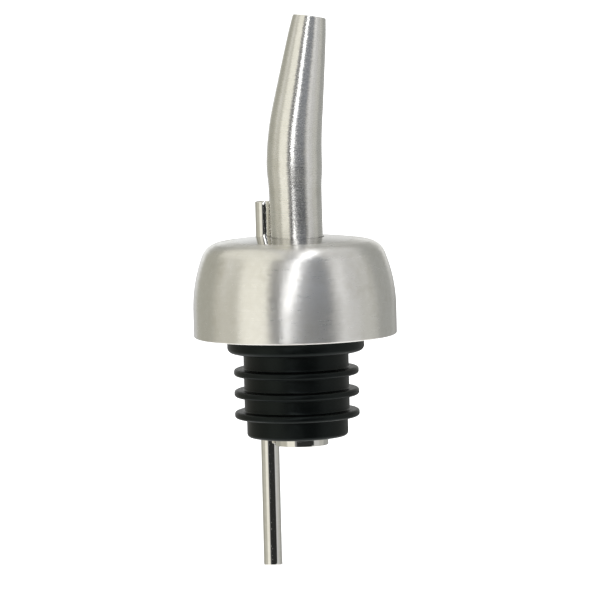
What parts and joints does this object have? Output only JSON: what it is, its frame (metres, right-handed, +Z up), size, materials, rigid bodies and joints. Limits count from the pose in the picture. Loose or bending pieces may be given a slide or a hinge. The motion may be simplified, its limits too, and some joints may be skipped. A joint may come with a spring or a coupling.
{
  "type": "liquor pour spout",
  "caption": "Bottle pourer: bent tapered steel spout and breather tube through a domed collar on a finned rubber stopper that plugs the neck.",
  "frame": {"origin": "where the stopper's centre line crosses the bottle's lip, at the underside of the stopper's flange", "axes": "+Z up out of the bottle along the stopper's centre line, +X towards the side that the spout bends to"},
  "size_m": [0.0352, 0.0352, 0.0955],
  "materials": {
    "rubber": "satin black moulded rubber",
    "brushed_steel": "satin stainless steel, brushed round its axis",
    "polished_steel": "bright drawn stainless steel",
    "solder": "dull silver solder"
  },
  "bodies": {
    "stopper": {"stopper": "rubber"},
    "metalwork": {"flow_tube": "polished_steel", "pour_spout": "brushed_steel", "vent_tube": "polished_steel", "dome_shell": "brushed_steel", "dome_base": "brushed_steel", "dome_solder": "solder", "base_solder": "solder"}
  },
  "joints": [
    {"name": "metalwork_pull", "type": "slide", "parent": "stopper", "child": "metalwork", "axis": [0, 0, 1], "range_m": [0, 0.042]}
  ]
}
